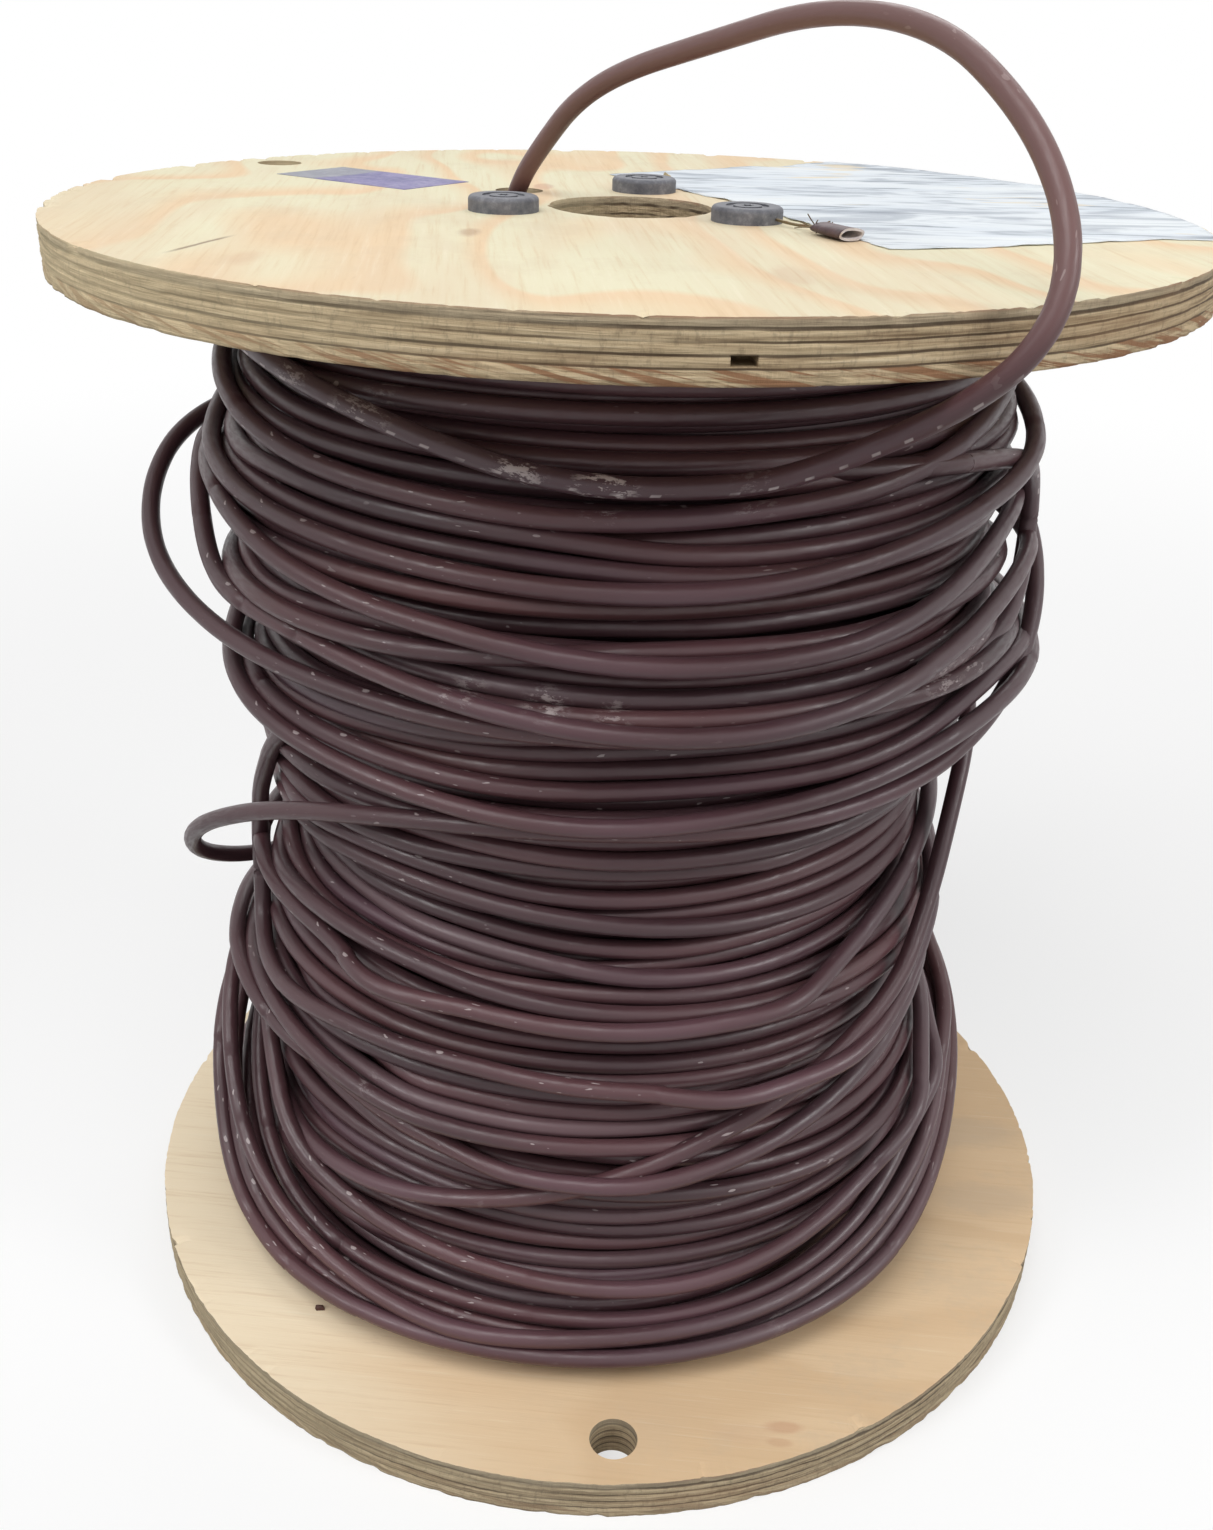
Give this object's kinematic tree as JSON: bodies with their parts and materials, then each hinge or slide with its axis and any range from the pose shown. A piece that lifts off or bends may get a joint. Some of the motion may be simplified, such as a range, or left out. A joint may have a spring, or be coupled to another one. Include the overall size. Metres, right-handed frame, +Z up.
{
  "type": "wooden cable drum",
  "caption": "Wooden cable drum: round plywood flanges on a fibre barrel, tied by capped rods, wound with loose brown multi-core cable whose tail loops over the rim.",
  "frame": {"origin": "centre of the lower flange's underside, where the drum stands on the floor", "axes": "+Z up along the drum's axis, towards the flange with the label; -Y towards the picture's viewer, +X to the viewer's right"},
  "size_m": [0.3556, 0.3556, 0.4403],
  "materials": {
    "plywood": "bare softwood plywood",
    "fibre": "spiral-wound fibre tube",
    "cap_steel": "dark zinc-grey, satin",
    "nut_steel": "zinc plated",
    "cable_jacket": "satin plum-brown PVC",
    "paper": "matt white paper",
    "sticker": "faded blue print",
    "wire": "dull tarnished wire"
  },
  "bodies": {
    "root": {"bottom_flange": "plywood", "top_flange": "plywood", "barrel": "fibre", "tie_rod_1": "cap_steel", "tie_rod_2": "cap_steel", "tie_rod_3": "cap_steel", "tie_nut_1": "nut_steel", "tie_nut_2": "nut_steel", "tie_nut_3": "nut_steel", "cable_winding": "cable_jacket", "cable_tail": "cable_jacket", "slack_turn_upper": "cable_jacket", "slack_turn_middle": "cable_jacket", "slack_turn_lower": "cable_jacket", "slack_turn_foot": "cable_jacket", "paper_label": "paper", "blue_sticker": "sticker", "tie_wire": "wire", "jacket_offcut": "cable_jacket"}
  },
  "joints": []
}
